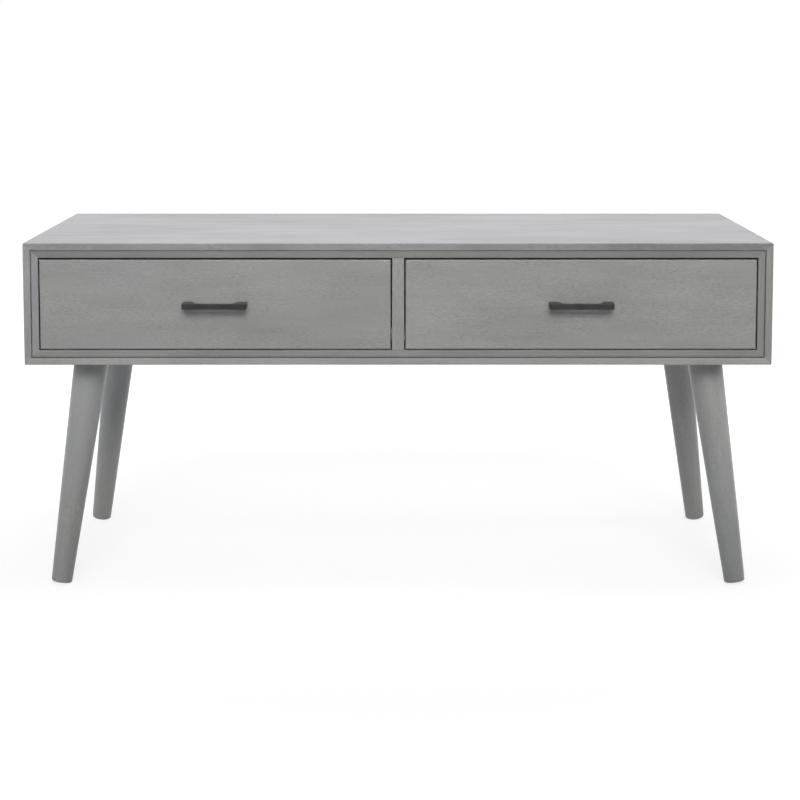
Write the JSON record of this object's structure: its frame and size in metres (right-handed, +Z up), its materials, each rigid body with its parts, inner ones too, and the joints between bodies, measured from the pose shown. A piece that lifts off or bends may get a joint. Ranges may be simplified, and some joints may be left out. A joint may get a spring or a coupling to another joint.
{
  "type": "coffee table with drawers",
  "caption": "Low rectangular coffee table in grey-stained wood with inset drawers, a mitred bead frame, dark bow handles and splayed turned legs.",
  "frame": {"origin": "on the floor under the middle of the table's whole outline, handles included", "axes": "+X along the table's length to the right as seen from the front, +Y from the drawers to the back, +Z up"},
  "size_m": [1.1, 0.579, 0.52],
  "materials": {
    "grey_wood": "satin grey stain over fine straight grain",
    "bead_wood": "satin grey stain, slightly darker",
    "leg_wood": "satin grey stain, grain along the leg",
    "drawer_wood": "clear-lacquered pale plywood",
    "handle_metal": "dark gunmetal, satin",
    "zinc_steel": "zinc plated",
    "runner_steel": "white powder coat",
    "nylon": "moulded nylon"
  },
  "bodies": {
    "case": {"back_panel": "grey_wood", "bead_bottom": "bead_wood", "bead_left": "bead_wood", "bead_right": "bead_wood", "bead_top": "bead_wood", "bottom_panel": "grey_wood", "case_rail_screws": "zinc_steel", "centre_partition": "drawer_wood", "centre_stile": "grey_wood", "front_left_leg": "leg_wood", "front_left_leg_plate": "zinc_steel", "front_right_leg": "leg_wood", "front_right_leg_plate": "zinc_steel", "left_drawer_left_case_rail": "runner_steel", "left_drawer_right_case_rail": "runner_steel", "left_end_panel": "grey_wood", "leg_bolts": "zinc_steel", "leg_plate_screws": "zinc_steel", "rear_left_leg": "leg_wood", "rear_left_leg_plate": "zinc_steel", "rear_right_leg": "leg_wood", "rear_right_leg_plate": "zinc_steel", "right_drawer_left_case_rail": "runner_steel", "right_drawer_right_case_rail": "runner_steel", "right_end_panel": "grey_wood", "top_panel": "grey_wood"},
    "left_drawer": {"left_drawer_back": "drawer_wood", "left_drawer_bottom": "drawer_wood", "left_drawer_front": "grey_wood", "left_drawer_handle": "handle_metal", "left_drawer_handle_screws": "zinc_steel", "left_drawer_left_rail": "runner_steel", "left_drawer_left_side": "drawer_wood", "left_drawer_rail_screws": "zinc_steel", "left_drawer_right_rail": "runner_steel", "left_drawer_right_side": "drawer_wood"},
    "right_drawer": {"right_drawer_back": "drawer_wood", "right_drawer_bottom": "drawer_wood", "right_drawer_front": "grey_wood", "right_drawer_handle": "handle_metal", "right_drawer_handle_screws": "zinc_steel", "right_drawer_left_rail": "runner_steel", "right_drawer_left_side": "drawer_wood", "right_drawer_rail_screws": "zinc_steel", "right_drawer_right_rail": "runner_steel", "right_drawer_right_side": "drawer_wood"},
    "left_drawer_left_front_roller": {"left_drawer_left_front_roller": "nylon"},
    "left_drawer_left_rear_roller": {"left_drawer_left_rear_roller": "nylon"},
    "left_drawer_right_front_roller": {"left_drawer_right_front_roller": "nylon"},
    "left_drawer_right_rear_roller": {"left_drawer_right_rear_roller": "nylon"},
    "right_drawer_left_front_roller": {"right_drawer_left_front_roller": "nylon"},
    "right_drawer_left_rear_roller": {"right_drawer_left_rear_roller": "nylon"},
    "right_drawer_right_front_roller": {"right_drawer_right_front_roller": "nylon"},
    "right_drawer_right_rear_roller": {"right_drawer_right_rear_roller": "nylon"}
  },
  "joints": [
    {"name": "left_drawer_slide", "type": "slide", "parent": "case", "child": "left_drawer", "axis": [0, -1, 0], "range_m": [0, 0.29]},
    {"name": "left_drawer_left_front_roller_spin", "type": "hinge", "parent": "case", "child": "left_drawer_left_front_roller", "pos_m": [-0.52165, -0.2245, 0.38375], "axis": [1, 0, 0], "continuous": true},
    {"name": "left_drawer_left_rear_roller_spin", "type": "hinge", "parent": "left_drawer", "child": "left_drawer_left_rear_roller", "pos_m": [-0.52165, 0.1975, 0.38305], "axis": [1, 0, 0], "continuous": true},
    {"name": "left_drawer_right_front_roller_spin", "type": "hinge", "parent": "case", "child": "left_drawer_right_front_roller", "pos_m": [-0.01535, -0.2245, 0.38375], "axis": [1, 0, 0], "continuous": true},
    {"name": "left_drawer_right_rear_roller_spin", "type": "hinge", "parent": "left_drawer", "child": "left_drawer_right_rear_roller", "pos_m": [-0.01535, 0.1975, 0.38305], "axis": [1, 0, 0], "continuous": true},
    {"name": "right_drawer_slide", "type": "slide", "parent": "case", "child": "right_drawer", "axis": [0, -1, 0], "range_m": [0, 0.29]},
    {"name": "right_drawer_left_front_roller_spin", "type": "hinge", "parent": "case", "child": "right_drawer_left_front_roller", "pos_m": [0.01535, -0.2245, 0.38375], "axis": [1, 0, 0], "continuous": true},
    {"name": "right_drawer_left_rear_roller_spin", "type": "hinge", "parent": "right_drawer", "child": "right_drawer_left_rear_roller", "pos_m": [0.01535, 0.1975, 0.38305], "axis": [1, 0, 0], "continuous": true},
    {"name": "right_drawer_right_front_roller_spin", "type": "hinge", "parent": "case", "child": "right_drawer_right_front_roller", "pos_m": [0.52165, -0.2245, 0.38375], "axis": [1, 0, 0], "continuous": true},
    {"name": "right_drawer_right_rear_roller_spin", "type": "hinge", "parent": "right_drawer", "child": "right_drawer_right_rear_roller", "pos_m": [0.52165, 0.1975, 0.38305], "axis": [1, 0, 0], "continuous": true}
  ],
  "couplings": [
    {"joint": "left_drawer_left_front_roller_spin", "follows": "left_drawer_slide", "rad_per_m": 111.11},
    {"joint": "left_drawer_left_rear_roller_spin", "follows": "left_drawer_slide", "rad_per_m": 125},
    {"joint": "left_drawer_right_front_roller_spin", "follows": "left_drawer_slide", "rad_per_m": 111.11},
    {"joint": "left_drawer_right_rear_roller_spin", "follows": "left_drawer_slide", "rad_per_m": 125},
    {"joint": "right_drawer_left_front_roller_spin", "follows": "right_drawer_slide", "rad_per_m": 111.11},
    {"joint": "right_drawer_left_rear_roller_spin", "follows": "right_drawer_slide", "rad_per_m": 125},
    {"joint": "right_drawer_right_front_roller_spin", "follows": "right_drawer_slide", "rad_per_m": 111.11},
    {"joint": "right_drawer_right_rear_roller_spin", "follows": "right_drawer_slide", "rad_per_m": 125}
  ]
}
